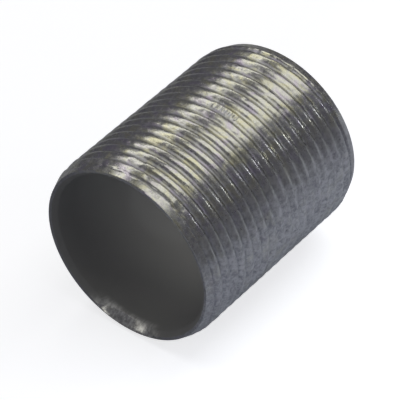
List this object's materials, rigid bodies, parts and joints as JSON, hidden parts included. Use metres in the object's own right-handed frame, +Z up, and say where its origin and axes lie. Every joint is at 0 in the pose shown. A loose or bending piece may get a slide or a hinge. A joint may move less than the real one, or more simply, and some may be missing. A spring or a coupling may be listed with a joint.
{
  "type": "threaded pipe nipple",
  "caption": "Short steel pipe nipple, threaded along its whole outside, with a plain open bore and chamfered, reamed ends",
  "frame": {"origin": "halfway along the pipe's axis, at the centre of the bounding box", "axes": "+Y runs along the pipe's axis from the near end to the far end, +Z is up, and the nipple lies on its side"},
  "size_m": [0.025, 0.0296, 0.025],
  "materials": {
    "zinc_steel": "galvanised steel with machined threads, dull grey-blue zinc worn bright on the crests and dark in the roots"
  },
  "bodies": {
    "root": {"nipple": "zinc_steel"}
  },
  "joints": []
}
